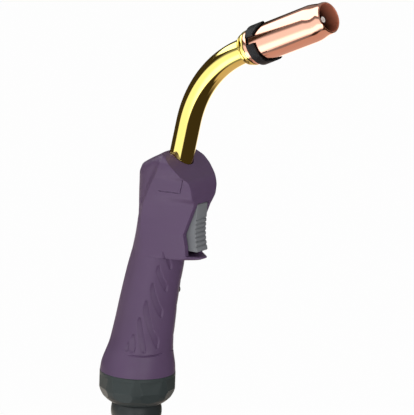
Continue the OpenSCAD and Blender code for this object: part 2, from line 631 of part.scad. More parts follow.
module trigger_pin() {
  color([0.72, 0.72, 0.74]) translate([pin_x, 0, pin_z]) rotate([90, 0, 0])
    cylinder(d = pin_d, h = 2 * pin_half, center = true);
}

coil_wire = 0.6;
coil_r = pin_d / 2 + 0.3 + coil_wire / 2;
coil_from = 34;
coil_to = 168 + 2 * 360;
coil_pitch = 1.2;
coil_steps = 24;
// Where the two legs end, from the pin: behind the trigger's front, and above the switch
function front_foot() = [trigger_front(2)[5][0] - pin_x - coil_wire / 2 - 0.15, pin_z - 110];
function rear_foot() = [switch_x + 3.6 - pin_x, pin_z - switch_z - switch_h - coil_wire / 2 - 0.35];
function coil_y(i) = coil_pitch * (coil_to - coil_from) / 360 * (i / coil_steps - 0.5);
function coil_path() = concat([[front_foot()[0], coil_y(0), -front_foot()[1]]],
  [for (i = [0 : coil_steps]) let (a = coil_from + i * (coil_to - coil_from) / coil_steps)
    [coil_r * cos(a), coil_y(i), coil_r * sin(a)]],
  [[rear_foot()[0], coil_y(coil_steps), -rear_foot()[1]]]);
module wire_sweep(path, r, sides) {
  n = len(path);
  function tan_at(i) = let (d = path[min(i + 1, n - 1)] - path[max(i - 1, 0)]) d / norm(d);
  pts = [for (i = [0 : n - 1]) let (t = tan_at(i), u0 = cross(t, [0.1, 1, 0.05]),
    u = u0 / norm(u0), v = cross(t, u))
    for (k = [0 : sides - 1]) path[i] + r * (u * cos(360 * k / sides) + v * sin(360 * k / sides))];
  faces = concat(
    [for (i = [0 : n - 2]) for (k = [0 : sides - 1])
      let (a = i * sides + k, b = i * sides + (k + 1) % sides)
      each [[a, b + sides, b], [a, a + sides, b + sides]]],
    [for (k = [1 : sides - 2]) [0, k, k + 1]],
    [for (k = [1 : sides - 2]) let (o = (n - 1) * sides) [o, o + k + 1, o + k]]);
  polyhedron(points = pts, faces = faces, convexity = 6);
}
module trigger_spring() {
  color([0.70, 0.71, 0.73]) translate([pin_x, 0, pin_z]) wire_sweep(coil_path(), coil_wire / 2, 6);
}

switch_x = 32;
switch_len = 9;
switch_z = 94;
switch_h = 12;
module switch_body() {
  color([0.12, 0.12, 0.13]) difference() {
    translate([switch_x, -switch_w / 2, switch_z]) cube([switch_len, switch_w, switch_h]);
    translate([switch_x + 3, 0, switch_z + switch_h / 2]) rotate([0, 90, 0])
      cylinder(r = plunger_d / 2 + fit, h = switch_len);
    for (z = [-1, switch_h - 2]) translate([switch_x + 1.2, -1.2, switch_z + z]) cube([0.8, 2.4, 3]);
  }
}
module switch_plunger() {
  color([0.75, 0.20, 0.15]) translate([switch_x + 5, 0, switch_z + switch_h / 2])
    rotate([0, 90, 0]) cylinder(d = plunger_d, h = front_at(switch_z + switch_h / 2) - 2.3 - switch_x - 5);
}
module terminal(z) {
  color([0.80, 0.76, 0.60]) translate([switch_x + 1.2, -1.2, switch_z + z]) cube([0.8, 2.4, 6]);
}
module terminal_low() terminal(-4);
module terminal_high() terminal(switch_h - 2);

// ---- Rear nut, swivel seat and cable support ----
nut_r = nut_d / 2;
mouth_r = ball_d / 2 - 0.5;
// A flat leans out by flat_lean down to its lower edge, then in by flat_low_lean
flat_lean = 4.6;
flat_low_lean = 20;
// How far round the nut is screwed, in degrees
nut_turn = -54;
module nut_flat(depth, drop, lean, len) {
  translate([nut_r - depth, -10, -drop]) rotate([0, 180 + lean, 0])
    translate([-8, 0, 0]) cube([8, 20, len]);
}
module rear_nut() {
  color([0.25, 0.28, 0.28]) difference() {
    rotate_extrude() polygon([
      [mouth_r, -nut_len], [mouth_r + 1.2, -nut_len], [nut_r - 4.6, -nut_len + 2],
      [nut_r - 2.2, -nut_len + 4.4], [nut_r - 0.7, -nut_wall_len - 2.2], [nut_r, -nut_wall_len],
      [nut_r, -0.4], [nut_r - 0.4, 0], [spigot_r + fit, 0], [spigot_r + fit, -seat_low],
      [mouth_r, -seat_low]]);
    for (i = [0 : nut_flat_count - 1]) rotate([0, 0, (i + 0.5) * 360 / nut_flat_count + nut_turn]) {
      nut_flat(nut_flat_depth, nut_rim_h, -flat_lean, nut_len - nut_rim_h - 4);
      nut_flat(nut_flat_depth - nut_flat_len * tan(flat_lean), nut_rim_h + nut_flat_len,
        flat_low_lean, nut_len - nut_rim_h - nut_flat_len);
    }
  }
}

seat_top = spigot_len + 0.2;
seat_low = 14.2;
inner_ball_r = cable_bore_d / 2 + 4.5;
seat_neck_r = cable_bore_d / 2 + 1.7;
module swivel_seat() {
  color([0.14, 0.14, 0.15]) difference() {
    union() {
      translate([0, 0, -seat_low + 0.2])
        cylinder(r = spigot_r, h = seat_low - seat_top - 0.2);
      translate([0, 0, -ball_drop]) cylinder(r = seat_neck_r, h = ball_drop - seat_low + 1);
      intersection() {
        translate([0, 0, -ball_drop]) sphere(r = inner_ball_r);
        translate([0, 0, -ball_drop - 7]) cylinder(r = 20, h = 20);
      }
    }
    translate([0, 0, -ball_drop - 20]) cylinder(d = cable_bore_d, h = 40);
  }
}

rim_up = inner_ball_r * cos(62);
module cable_support() {
  color([0.16, 0.18, 0.18]) translate([0, 0, -ball_drop]) difference() {
    union() {
      intersection() {
        sphere(d = ball_d);
        translate([0, 0, -ball_d / 2 - 1]) cylinder(r = 30, h = ball_d / 2 + 1 + rim_up);
      }
      translate([0, 0, -collar_len]) rotate_extrude() polygon([[0, 0],
        [cable_bore_d / 2 + collar_wall - 0.8, 0], [cable_bore_d / 2 + collar_wall, 0.8],
        [cable_bore_d / 2 + collar_wall + 1.6, collar_len - 8], [0, collar_len - 8]]);
    }
    sphere(r = inner_ball_r + 0.05);
    translate([0, 0, 0]) cylinder(r1 = inner_ball_r * 0.9, r2 = seat_neck_r + 3.4, h = rim_up + 1);
    translate([0, 0, -collar_len - 1]) cylinder(d = cable_bore_d, h = collar_len + 2);
  }
}

gas_nozzle();
contact_tip();
tip_holder();
gas_diffuser();
nozzle_insulator();
nozzle_spring();
seat_ring();
neck_collar();
swan_neck();
neck_sleeve();
neck_conductor();
wire_liner();
neck_socket();
neck_bush();
socket_screw();
handle_left();
handle_right();
shell_screw_top();
shell_screw_mid();
shell_screw_rear();
trigger();
trigger_pin();
trigger_spring();
switch_body();
switch_plunger();
terminal_low();
terminal_high();
rear_nut();
swivel_seat();
cable_support();
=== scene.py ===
# %% [markdown]
# # A MIG welding torch
# This lesson dresses the solid model of a welding torch: a purple two-shell
# handle with a trigger, a brass swan neck, a copper gas nozzle and a dark
# rear nut with a ball-jointed cable support. The solid model arrives as a
# fixed frame, and every visible piece is modelled round it in the same place.

# %% Load the frame
import math
import bpy
from mathutils import Matrix, Vector


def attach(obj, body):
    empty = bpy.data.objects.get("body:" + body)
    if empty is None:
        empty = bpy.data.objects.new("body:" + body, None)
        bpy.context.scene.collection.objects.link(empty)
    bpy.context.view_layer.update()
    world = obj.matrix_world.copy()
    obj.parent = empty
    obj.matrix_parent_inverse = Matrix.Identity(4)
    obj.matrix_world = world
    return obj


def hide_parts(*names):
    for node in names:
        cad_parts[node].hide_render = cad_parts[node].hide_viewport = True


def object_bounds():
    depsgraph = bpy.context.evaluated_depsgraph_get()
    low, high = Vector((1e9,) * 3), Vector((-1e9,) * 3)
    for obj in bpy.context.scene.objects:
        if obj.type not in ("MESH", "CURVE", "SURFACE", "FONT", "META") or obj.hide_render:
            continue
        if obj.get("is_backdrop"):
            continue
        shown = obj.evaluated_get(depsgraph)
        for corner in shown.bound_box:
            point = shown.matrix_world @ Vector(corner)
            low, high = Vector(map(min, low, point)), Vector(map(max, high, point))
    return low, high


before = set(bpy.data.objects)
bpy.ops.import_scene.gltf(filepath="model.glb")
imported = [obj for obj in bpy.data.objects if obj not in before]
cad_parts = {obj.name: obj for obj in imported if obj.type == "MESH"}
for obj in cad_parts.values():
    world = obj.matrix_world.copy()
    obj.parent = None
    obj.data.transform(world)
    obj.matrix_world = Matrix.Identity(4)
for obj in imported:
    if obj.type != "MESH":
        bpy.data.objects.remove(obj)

CAD_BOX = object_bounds()

# %% [markdown]
# ## Sizes
# The sizes below are the torch's real ones in millimetres, and Blender works
# in metres, so each is multiplied by MM where a mesh is made. They repeat the
# solid model's values, because a dressed piece has to sit on its solid.

# %% Sizes of the torch
MM = 0.001
NUT_R = 24.7
LIP_TOP, HEAD_Z = 84.6, 149.0
SHELL_WALL = 2.4
TRIGGER_W, SLOT_TOP = 11.2, 120.4
PIN_X, PIN_Z = 38.5, 115.5
NECK_R, NECK_WALL = 8.0, 1.2
LEAN, BEND = math.radians(11.5), math.radians(52.4)
NECK_STRAIGHT, BEND_R, EXIT_X = 22.0, 76.0, 29.7
NOZZLE_R, BORE_R, MOUTH_R = 11.9, 9.5, 9.1
RING_S, INSULATOR_S, NOZZLE_S, NECK_FRONT_S, MOUTH_S = 9.4, 12.4, 14.0, 19.0, 72.0
BALL_DROP = 27.0

# %% [markdown]
# ## The neck's own axes
# The neck leans out of the handle and then bends forwards, so its pieces are
# easiest to make upright and then carried over by a matrix: one for the place
# where the neck leaves the handle, one for the end of the bend, where the
# nozzle's axis begins.

# %% Axes along the neck
at_exit = Matrix.Translation((EXIT_X * MM, 0, HEAD_Z * MM)) @ Matrix.Rotation(LEAN, 4, "Y")
bend_end = Vector((BEND_R * (1 - math.cos(BEND)), 0, NECK_STRAIGHT + BEND_R * math.sin(BEND)))
at_front = at_exit @ Matrix.Translation(bend_end * MM) @ Matrix.Rotation(BEND, 4, "Y")
print("nozzle axis:", [round(v, 3) for v in at_front.col[2][:3]])

# %% [markdown]
# ## The camera
# A long lens from far away keeps the torch's proportions, with hardly any
# perspective. The camera stands on the trigger side, a little above the
# handle's head, and is rolled two degrees about its own axis.

# %% Camera
AIM = Vector((0.040, 0, 0.110))
AZ, EL, ROLL, DISTANCE = math.radians(36), math.radians(14), math.radians(2), 3.5
POINTS_PER_M, IMAGE_H, SENSOR_MM = 1560.0, 415.0, 36
SHIFT_RIGHT, SHIFT_UP = 207 - 192.83, 215.76 - 207.5
back = Vector((math.sin(AZ) * math.cos(EL), -math.cos(AZ) * math.cos(EL), math.sin(EL)))
side = Vector((math.cos(AZ), math.sin(AZ), 0))
upward = back.cross(side)
turned_side = side * math.cos(ROLL) + upward * math.sin(ROLL)
turned_up = upward * math.cos(ROLL) - side * math.sin(ROLL)
camera = bpy.data.objects.new("camera", bpy.data.cameras.new("camera"))
bpy.context.scene.collection.objects.link(camera)
camera.matrix_world = Matrix.Translation(AIM + back * DISTANCE) @ Matrix(
    (turned_side, turned_up, back)).transposed().to_4x4()
camera.data.sensor_width = SENSOR_MM
camera.data.lens = POINTS_PER_M * DISTANCE * SENSOR_MM / IMAGE_H
camera.data.shift_x = SHIFT_RIGHT / IMAGE_H
camera.data.shift_y = SHIFT_UP / IMAGE_H
camera.data.clip_end = 20
bpy.context.scene.camera = camera
print("lens:", round(camera.data.lens, 1))

# %% [markdown]
# ## Shader maths
# A material reads better as a sum than as a drawing of wires. The class below
# wraps one output of a node, and its operators add the Math node that does
# the sum, so that 1 - mask or noise * 0.2 can be written as they stand.


# %% Shader expressions
class Wire:
    def __init__(self, graph, output):
        self.graph, self.output = graph, output

    def maths(self, operation, *others):
        return self.graph.node("ShaderNodeMath", {"operation": operation}, (self, *others))

    def __add__(self, other):
        return self.maths("ADD", other)

    def __sub__(self, other):
        return self.maths("SUBTRACT", other)

    def __mul__(self, other):
        return self.maths("MULTIPLY", other)

    __radd__, __rmul__ = __add__, __mul__

    def __rsub__(self, other):
        return self.graph.node("ShaderNodeMath", {"operation": "SUBTRACT"}, (other, self))

    def larger(self, other):
        return self.maths("MAXIMUM", other)


class Graph:
    def __init__(self, tree):
        self.tree = tree

    def node(self, kind, settings=None, values=None, out=0):
        made = self.tree.nodes.new(kind)
        for key, value in (settings or {}).items():
            if key == "stops":
                while len(made.color_ramp.elements) < len(value):
                    made.color_ramp.elements.new(0.5)
                for element, (place, colour) in zip(made.color_ramp.elements, value):
                    element.position = place
                    element.color = (*colour, 1)
            else:
                setattr(made, key, value)
        pairs = values.items() if isinstance(values, dict) else enumerate(values or ())
        for key, value in pairs:
            self.feed(made.inputs[key], value)
        return Wire(self, made.outputs[out]) if len(made.outputs) else None

    def feed(self, socket, value):
        if isinstance(value, Wire):
            self.tree.links.new(value.output, socket)
        elif isinstance(value, (tuple, list)) and len(value) == 3 and socket.type == "RGBA":
            socket.default_value = (*value, 1)
        else:
            socket.default_value = value

    def mix(self, factor, a, b):
        return self.node("ShaderNodeMix", {"data_type": "RGBA"}, {0: factor, 6: a, 7: b}, out=2)

    def vectors(self, operation, values, out=0):
        return self.node("ShaderNodeVectorMath", {"operation": operation}, values, out)

    def noise(self, size, detail, rough=0.5):
        place = self.node("ShaderNodeTexCoord", out="Object")
        return self.node("ShaderNodeTexNoise", None,
                         {"Vector": place, "Scale": 1 / size, "Detail": detail,
                          "Roughness": rough})

    def edges(self, low, high):
        point = self.node("ShaderNodeNewGeometry", out="Pointiness")
        return self.node("ShaderNodeMapRange", {"clamp": True},
                         {"Value": point, "From Min": low, "From Max": high})

    def step(self, value, low, high):
        return self.node("ShaderNodeMapRange", {"clamp": True, "interpolation_type": "SMOOTHSTEP"},
                         {"Value": value, "From Min": low, "From Max": high})

    def bump(self, height, distance, strength):
        return self.node("ShaderNodeBump", None,
                         {"Strength": strength, "Distance": distance, "Height": height})


def material(name):
    made = bpy.data.materials.new(name)
    made.use_nodes = True
    graph = Graph(made.node_tree)
    shader = made.node_tree.nodes["Principled BSDF"]
    return made, graph, shader


# %% [markdown]
# ## Moulded plastic
# The handle, the trigger and the rear nut are moulded from filled nylon. Its
# skin has a fine grain that breaks up the highlight, a slow change of tone
# from the moulding, and slightly paler worn edges. One function makes all the
# plastics, and each gets its own colour, grain and gloss.


# %% Plastics
TONE, WEAR, GRAIN_DEPTH = 0.10, 0.12, 0.00003


def scaled(colour, factor):
    return tuple(c * factor for c in colour)


def plastic(name, colour, rough, grain=0.00035, shine=0.5):
    made, g, shader = material(name)
    slow = g.noise(0.03, 2)
    fine = g.noise(grain, 2)
    shade = g.mix(slow, scaled(colour, 1 - TONE), scaled(colour, 1 + TONE))
    pale = tuple(min(1, c * 1.5 + 0.02) for c in colour)
    g.feed(shader.inputs["Base Color"], g.mix(g.edges(0.52, 0.66) * WEAR, shade, pale))
    g.feed(shader.inputs["Roughness"], rough + (fine - 0.5) * 0.12 + (slow - 0.5) * 0.10)
    g.feed(shader.inputs["Normal"], g.bump(fine, GRAIN_DEPTH, 0.5))
    shader.inputs["Specular IOR Level"].default_value = shine
    return made


HANDLE = plastic("handle_nylon", (0.114, 0.066, 0.140), 0.46, shine=0.36)
TRIGGER = plastic("trigger_nylon", (0.20, 0.208, 0.222), 0.50)
NUT = plastic("nut_nylon", (0.042, 0.053, 0.053), 0.46, shine=0.2)
SUPPORT = plastic("support_nylon", (0.030, 0.036, 0.037), 0.45, shine=0.3)
SWITCH = plastic("switch_black", (0.02, 0.02, 0.022), 0.5)
PLUNGER = plastic("plunger_red", (0.45, 0.03, 0.02), 0.35)
PALE_INSULATION = plastic("insulation_white", (0.72, 0.69, 0.60), 0.6, grain=0.0006)

# %% [markdown]
# The insulator ring is a pressed, glass-filled moulding: nearly black, with
# patches of dark grey where the fibres come to the surface.


# %% Insulator moulding
def insulator_moulding():
    made, g, shader = material("insulator_black")
    patches = g.noise(0.0022, 6, rough=0.75)
    mask = g.node("ShaderNodeValToRGB", {"stops": [(0.45, (0, 0, 0)), (0.62, (1, 1, 1))]},
                  {"Fac": patches})
    g.feed(shader.inputs["Base Color"], g.mix(mask, (0.004, 0.004, 0.005), (0.020, 0.021, 0.023)))
    shader.inputs["Specular IOR Level"].default_value = 0.25
    g.feed(shader.inputs["Roughness"], 0.38 + patches * 0.3)
    g.feed(shader.inputs["Normal"], g.bump(patches, 0.00015, 0.5))
    return made


INSULATOR = insulator_moulding()

# %% [markdown]
# ## Metals
# The neck is polished brass, the nozzle and its seat ring are polished
# copper. Both are smooth enough to mirror the studio, with a faint haze from
# polishing, and their colour deepens in soft clouds. Hollow corners get painted
# shade. Some marks follow the nozzle's axis, so they are found by the distance
# from that axis and the way along it: a dull red-brown on the nozzle's bore,
# with painted shade that deepens inwards, painted shade in the grooves between
# the rings, and a painted highlight on the tip's end.


# %% Polished and plated metals
# The radius that marks the bore, and the span over which the bore's painted shade lightens towards
# the mouth.
BORE_MARK_R, SHADE_DEEP_S, SHADE_FRONT_S = 9.55, 58.5, 70.5
# The radius of the painted highlight on the tip's end, and how soft the groove edges are.
HIGHLIGHT_R, GROOVE_FADE = 1.95, 0.15


def nozzle_place(g):
    start, axis = tuple(at_front.col[3][:3]), tuple(at_front.col[2][:3])
    point = g.node("ShaderNodeTexCoord", out="Object")
    offset = g.vectors("SUBTRACT", {0: point, 1: start})
    across = g.vectors("CROSS_PRODUCT", {0: offset, 1: axis})
    distance = g.vectors("LENGTH", {0: across}, out="Value")
    along = g.vectors("DOT_PRODUCT", {0: offset, 1: axis}, out="Value")
    return distance, along


def metal(name, colour, deep, rough, haze, scratch=0.000004, bore_colour=None, painted_highlight=None, shaded_grooves=()):
    made, g, shader = material(name)
    clouds = g.noise(0.02, 3)
    lines = g.noise(0.0006, 3)
    paint, gloss = g.mix(clouds * 0.6, colour, deep), rough + lines * haze
    # Painted shade: hollow corners, where pointiness is low, are darkened.
    paint = g.mix(g.edges(0.49, 0.43), paint, scaled(deep, 0.2))
    shader.inputs["Metallic"].default_value = 1
    if bore_colour:
        # The bore is painted a dull, less metallic red-brown, with painted shade that darkens it to
        # a third deeper inside.
        distance, along = nozzle_place(g)
        mask = g.step(distance, (BORE_MARK_R + 0.1) * MM, (BORE_MARK_R - 0.1) * MM)
        shallow = g.step(along, SHADE_DEEP_S * MM, SHADE_FRONT_S * MM)
        bore_shaded = g.mix(shallow, scaled(bore_colour, 0.3), bore_colour)
        paint, gloss = g.mix(mask, paint, bore_shaded), gloss + mask * 0.4
        g.feed(shader.inputs["Metallic"], 1 - mask * 0.6)
    # Painted shade: the grooves between the rings are darkened along the axis.
    for start, end in shaded_grooves:
        along = nozzle_place(g)[1]
        mask = (g.step(along, (start - GROOVE_FADE) * MM, start * MM) *
                g.step(along, (end + GROOVE_FADE) * MM, end * MM))
        paint, gloss = g.mix(mask, paint, scaled(deep, 0.15)), gloss + mask * 0.3
    # Painted highlight: a near-white, hardly metallic disc round the axis on the tip's end.
    if painted_highlight:
        distance = nozzle_place(g)[0]
        mask = g.step(distance, (HIGHLIGHT_R + 0.15) * MM, (HIGHLIGHT_R - 0.15) * MM)
        paint = g.mix(mask, paint, painted_highlight)
        g.feed(shader.inputs["Metallic"], 1 - mask * 0.9)
    g.feed(shader.inputs["Base Color"], paint)
    g.feed(shader.inputs["Roughness"], gloss)
    g.feed(shader.inputs["Normal"], g.bump(lines, scratch, 0.4))
    return made


BRASS = metal("neck_brass", (0.92, 0.78, 0.24), (0.88, 0.66, 0.16), 0.05, haze=0.03,
              shaded_grooves=((2.6, 3.0), (4.8, 5.6), (9.0, 9.5)))
# The bore's dull red-brown is darkened inside as painted shade, and the grooves get painted shade.
COPPER = metal("nozzle_copper", (0.87, 0.48, 0.355), (0.80, 0.39, 0.275), 0.08, haze=0.04,
               scratch=0.000001, bore_colour=(0.70, 0.235, 0.14),
               shaded_grooves=((9.2, 9.6), (12.15, 12.5)))
# The tip is painted nearly black as painted shade inside the nozzle, with a painted highlight on
# its end.
TIP_COPPER = metal("tip_copper", (0.05, 0.02, 0.015), (0.04, 0.015, 0.01), 0.4, haze=0.15,
                   painted_highlight=(1.0, 0.95, 0.90))
MACHINED = metal("machined_brass", (0.80, 0.62, 0.26), (0.68, 0.48, 0.17), 0.24, haze=0.15)
STEEL = metal("plated_steel", (0.62, 0.62, 0.63), (0.50, 0.50, 0.51), 0.25, haze=0.15)
DARK_STEEL = metal("oxide_steel", (0.09, 0.09, 0.095), (0.05, 0.05, 0.052), 0.38, haze=0.15)

# %% [markdown]
# ## Modelling helpers
# A lathe piece is a ring that is extruded and scaled from one point of its
# outline to the next, as by hand. The last ring is joined to the first, which
# closes the wall. A plate is a polygon extruded to its width.


# %% Selection and finishing
def only(piece):
    if bpy.context.object and bpy.context.object.mode != "OBJECT":
        bpy.ops.object.mode_set(mode="OBJECT")
    bpy.ops.object.select_all(action="DESELECT")
    piece.select_set(True)
    bpy.context.view_layer.objects.active = piece


def apply_modifiers(piece):
    only(piece)
    for modifier in list(piece.modifiers):
        bpy.ops.object.modifier_apply(modifier=modifier.name)


def settle(piece, matrix=None):
    if matrix is not None:
        piece.data.transform(matrix)
    only(piece)
    bpy.ops.object.mode_set(mode="EDIT")
    bpy.ops.mesh.select_all(action="SELECT")
    bpy.ops.mesh.remove_doubles(threshold=0.000002)
    bpy.ops.mesh.normals_make_consistent(inside=False)
    bpy.ops.object.mode_set(mode="OBJECT")
    return piece


def bevelled(piece, width, segments, angle):
    modifier = piece.modifiers.new("soft edges", "BEVEL")
    modifier.width, modifier.segments = width * MM, segments
    modifier.limit_method, modifier.angle_limit = "ANGLE", math.radians(angle)
    modifier.use_clamp_overlap = True
    apply_modifiers(piece)
    return piece


def cut(piece, *tools, operation="DIFFERENCE"):
    for tool in tools:
        modifier = piece.modifiers.new("cut", "BOOLEAN")
        modifier.operation, modifier.solver, modifier.object = operation, "EXACT", tool
        apply_modifiers(piece)
        bpy.data.objects.remove(tool)
    return piece


def finish(piece, name, paint, body, slot, *nodes, angle=30):
    only(piece)
    bpy.ops.object.shade_smooth_by_angle(angle=math.radians(angle))
    piece.name = piece.data.name = name
    piece.data.materials.clear()
    piece.data.materials.append(paint)
    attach(piece, body)
    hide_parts(*nodes)
    print(name, len(piece.data.polygons), "faces")
    return piece


# %% Lathe pieces and plates
def ring_at(radius, height, sides):
    bpy.ops.object.select_all(action="DESELECT")
    bpy.ops.mesh.primitive_circle_add(vertices=sides, radius=radius * MM,
                                      location=(0, 0, height * MM))
    piece = bpy.context.object
    bpy.ops.object.transform_apply(location=True, rotation=True, scale=True)
    return piece


def turned(outline, sides=128):
    (radius, height), rest = outline[0], outline[1:]
    piece = ring_at(radius, height, sides)
    bpy.ops.object.mode_set(mode="EDIT")
    bpy.ops.mesh.select_all(action="SELECT")
    for next_radius, next_height in rest + [outline[0]]:
        bpy.ops.mesh.extrude_region_move(
            TRANSFORM_OT_translate={"value": (0, 0, (next_height - height) * MM)})
        ratio = next_radius / radius
        bpy.ops.transform.resize(value=(ratio, ratio, 1), center_override=(0, 0, next_height * MM))
        radius, height = next_radius, next_height
    return settle(piece)


def plate(outline, low_y, high_y):
    bpy.ops.object.select_all(action="DESELECT")
    bpy.ops.mesh.primitive_circle_add(vertices=len(outline), fill_type="NGON")
    piece = bpy.context.object
    for corner, (x, z) in zip(piece.data.vertices, outline):
        corner.co = (x * MM, low_y * MM, z * MM)
    bpy.ops.object.mode_set(mode="EDIT")
    bpy.ops.mesh.select_all(action="SELECT")
    bpy.ops.mesh.extrude_region_move(
        TRANSFORM_OT_translate={"value": (0, (high_y - low_y) * MM, 0)})
    return settle(piece)


def block(low, high, matrix=None):
    bpy.ops.object.select_all(action="DESELECT")
    bpy.ops.mesh.primitive_cube_add(size=1)
    piece = bpy.context.object
    size = [(b - a) * MM for a, b in zip(low, high)]
    middle = [(b + a) / 2 * MM for a, b in zip(low, high)]
    local = Matrix.Translation(middle) @ Matrix.Diagonal((*size, 1))
    piece.data.transform((matrix or Matrix.Identity(4)) @ local)
    return piece


def rod(radius, low, high, matrix):
    bpy.ops.object.select_all(action="DESELECT")
    bpy.ops.mesh.primitive_cylinder_add(vertices=64, radius=radius * MM,
                                        depth=(high - low) * MM)
    piece = bpy.context.object
    piece.data.transform(matrix @ Matrix.Translation((0, 0, (high + low) / 2 * MM)))
    return piece


# %% [markdown]
# ## The handle's form
# The handle is lofted: a table gives each measure of the cross-section at a
# few heights, and sections are drawn between them. The tables below are eased,
# so that the grip flows, except near the finger guard and the groove, which
# keep their crisp edges.

# %% Tables of the handle
BACK = [(0, -24.6), (6, -23.9), (12, -21.6), (18, -19.3), (24, -18), (36, -15.2), (48, -12.6),
        (60, -9.8), (72, -6.8), (84, -3), (96, 0.4), (103, 2.2), (108, 3), (114, 2.8), (120, 1.8),
        (135, 0.5), (140, 2.6), (144, 9), (148, 16.5), (150, 20)]
FRONT = [(0, 24.6), (6, 24.4), (12, 23.5), (18, 23.5), (24, 24), (36, 25.4), (48, 26.4), (60, 28),
         (72, 30.4), (81.6, 31.6), (82, 45.2), (83.2, 50.2), (84.2, 50.2), (84.6, 49.8), (85, 42.2),
         (90, 41.9), (94, 41), (98.5, 39.8), (107, 43.2), (118, 47.4), (120.5, 48.5), (124, 48.6),
         (129.5, 48.4), (132, 47.8), (135, 46.6), (136.5, 45.1), (138, 43), (142, 38.9), (146, 34),
         (149, 29.8), (150, 28.8)]
EDGE = [(81.6, 27), (82, 39), (83.2, 41.6), (84.6, 42), (85, 41.9), (90, 41.6), (94, 40.7),
        (98.5, 39.5), (107, 42.9), (118, 47.1), (120.5, 48.2), (124, 48.3), (129.5, 48.1),
        (132, 47.5), (135, 46.2), (136.5, 44.6), (138, 42.4), (142, 38.2), (146, 33.2), (149, 29),
        (150, 28)]
HALF = [(0, 24.6), (6, 23.7), (12, 21.8), (18, 19.8), (24, 18.7), (36, 17.9), (48, 17.7),
        (72, 17.1), (84, 16.9), (96, 16.7), (108, 16.5), (120, 17.5), (135, 18.4), (142, 19.3),
        (146, 19.3), (149, 17.2), (150, 15.5)]
EDGE_HALF = [(81.6, 9.4), (118, 9.4), (120.5, 10), (124, 12.8), (129.5, 14), (132, 14.4), (135, 15),
             (136.5, 16.1), (138, 17.5), (142, 18.9), (146, 19.2), (149, 16.8), (150, 15.1)]
MID = [(0, 0), (12, 1), (24, 2.6), (48, 6.5), (72, 11), (84, 13), (96, 12), (104, 10.6), (110, 11),
       (116, 12.2), (124, 15.6), (132, 19.6), (140, 24.2), (146, 26.4), (150, 27)]
FLAT = [(81.6, 0), (82, 1)]
VALLEY = [(98, 0), (110, 0.8), (120, 1.6), (140, 2), (146, 1.4), (150, 0)]
SQUARE = [(106, 0), (124, 0.35), (150, 0.35)]
CRISP = (0, 81.6, 82, 84.6, 85, 120.5, 136.5, 150)


def table_at(table, z):
    if z <= table[0][0]:
        return table[0][1]
    for (z0, v0), (z1, v1) in zip(table, table[1:]):
        if z <= z1:
            return v0 + (v1 - v0) * (z - z0) / (z1 - z0)
    return table[-1][1]


def eased(table, z):
    reach = min([5.0 if z < 80 else 1.6] + [abs(z - c) * 0.8 for c in CRISP])
    spread = [(k, 4 - abs(k)) for k in range(-3, 4)]
    total = sum(w for _, w in spread)
    return sum(w * table_at(table, z + reach * k / 4) for k, w in spread) / total


# %% One half section
REAR_N, SIDE_N, FACE_N = 36, 48, 26
SIDE_BULGE = 1.3
CHEEK_STEP, NOSE_SHARE = 0.1, 2 / 3


def half_section(z, inset=0.0):
    xb, xf = eased(BACK, z) + inset, eased(FRONT, z) - inset
    xe, be = eased(EDGE, z) - inset, max(eased(EDGE_HALF, z) - inset, 1)
    xm, b = eased(MID, z), eased(HALF, z) - inset
    power, valley, flat = 1 - 0.28 * eased(SQUARE, z), eased(VALLEY, z), table_at(FLAT, z)
    points = []
    for i in range(REAR_N + 1):
        s = i / REAR_N
        a = math.pi / 2 * s
        narrow = valley * min(1, (1 - s) / CHEEK_STEP)
        points.append([xm - (xm - xb) * max(math.cos(a), 0) ** power,
                       (narrow - b) * math.sin(a) ** power])
    for i in range(1, SIDE_N + FACE_N + 1):
        u = i / (SIDE_N + FACE_N)
        turn = SIDE_N / (SIDE_N + FACE_N)
        a = math.pi / 2 * u
        round_x, round_y = xm + (xf - xm) * math.sin(a), -b * math.cos(a)
        if u <= turn:
            k = u / turn
            flat_x, flat_y = xm + (xe - xm) * k, -b + (b - be) * k ** SIDE_BULGE
        else:
            k = (u - turn) / (1 - turn)
            flat_x, flat_y = xe + (xf - xe) * min(1, k / NOSE_SHARE), -be * (1 - k)
        points.append([round_x + (flat_x - round_x) * flat, round_y + (flat_y - round_y) * flat])
    points[0][1] = points[-1][1] = 0.0
    for _ in range(3 if z < 80 else 1):
        inner = [[(p[j] + 2 * q[j] + r[j]) / 4 for j in (0, 1)]
                 for p, q, r in zip(points, points[1:], points[2:])]
        points = [points[0]] + inner + [points[-1]]
    return points


# %% [markdown]
# The grip has a fan of slim leaf-shaped slots that keep the hand from
# slipping, with a shallow groove under them. Each is drawn in side view, with
# its corners cut off twice, and the skin sinks inside its outline.

